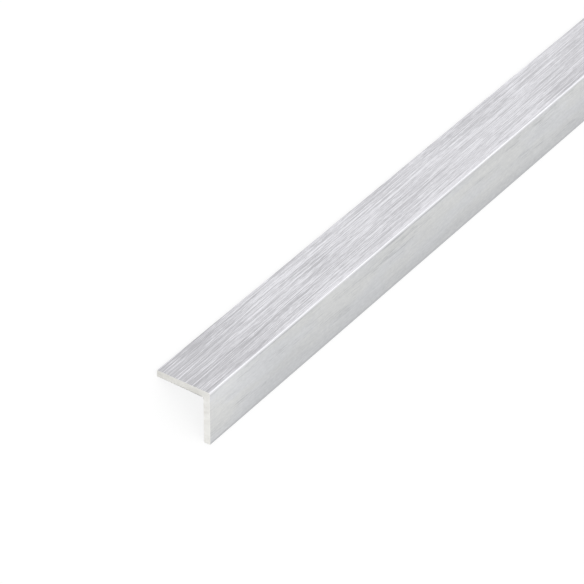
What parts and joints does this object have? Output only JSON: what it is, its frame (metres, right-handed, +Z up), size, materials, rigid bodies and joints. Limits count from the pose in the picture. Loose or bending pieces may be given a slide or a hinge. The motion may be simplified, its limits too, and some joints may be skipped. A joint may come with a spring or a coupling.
{
  "type": "metal angle section",
  "caption": "Equal-leg aluminium angle stock with a square corner, brushed along its length, for edging, framing and bracing.",
  "frame": {"origin": "on the floor under the corner, half way along the stock", "axes": "+Y along the stock, +Z up through the corner; each leg runs down from the corner at 45 degrees"},
  "size_m": [0.0352, 1, 0.0195],
  "materials": {
    "brushed_aluminium": "brushed along the length, matte sawn ends"
  },
  "bodies": {
    "root": {"angle_section": "brushed_aluminium"}
  },
  "joints": []
}
